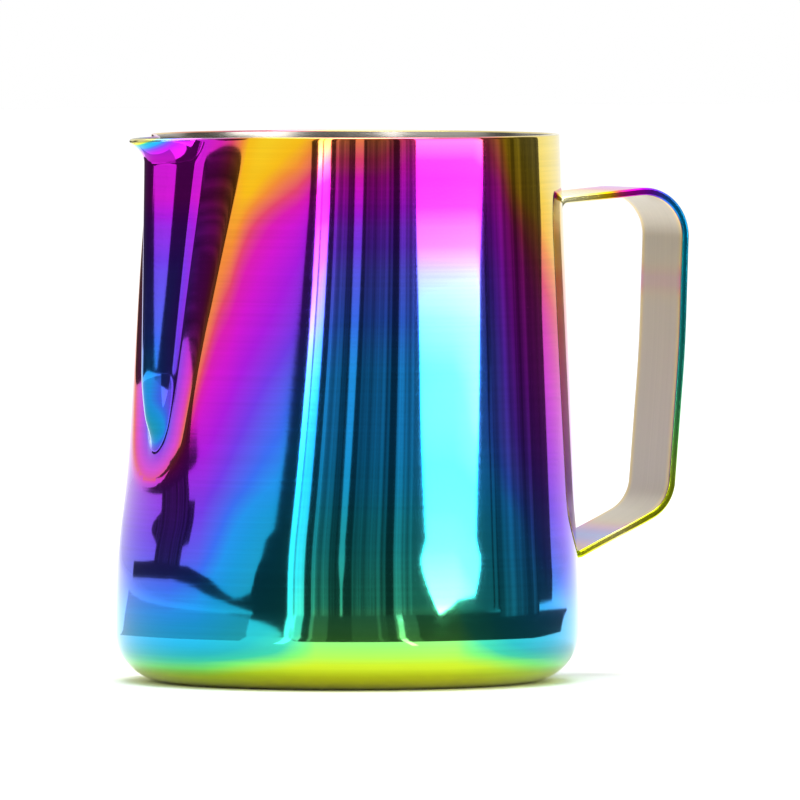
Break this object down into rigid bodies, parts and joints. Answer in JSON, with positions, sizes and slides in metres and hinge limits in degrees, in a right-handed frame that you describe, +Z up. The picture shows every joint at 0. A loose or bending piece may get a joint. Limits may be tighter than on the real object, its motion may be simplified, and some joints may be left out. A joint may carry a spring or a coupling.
{
  "type": "milk frothing pitcher",
  "caption": "Steel milk frothing pitcher with a pressed V spout, curled pouring lip, rounded foot and flat strap loop handle, in a rainbow heat-tint finish.",
  "frame": {"origin": "centre of the flat resting face, on the axis of the round body", "axes": "+Z up along the body axis, -X towards the spout, +X towards the handle, Y across"},
  "size_m": [0.121, 0.0934, 0.11],
  "materials": {
    "body": "mirror polished steel with a rainbow coating, yellow at the rim through magenta and blue to lime at the foot",
    "handle": "satin steel strap with a rainbow coating on its outer face",
    "welds": "bare fused steel"
  },
  "bodies": {
    "root": {"body": "body", "handle": "handle", "welds": "welds"}
  },
  "joints": []
}
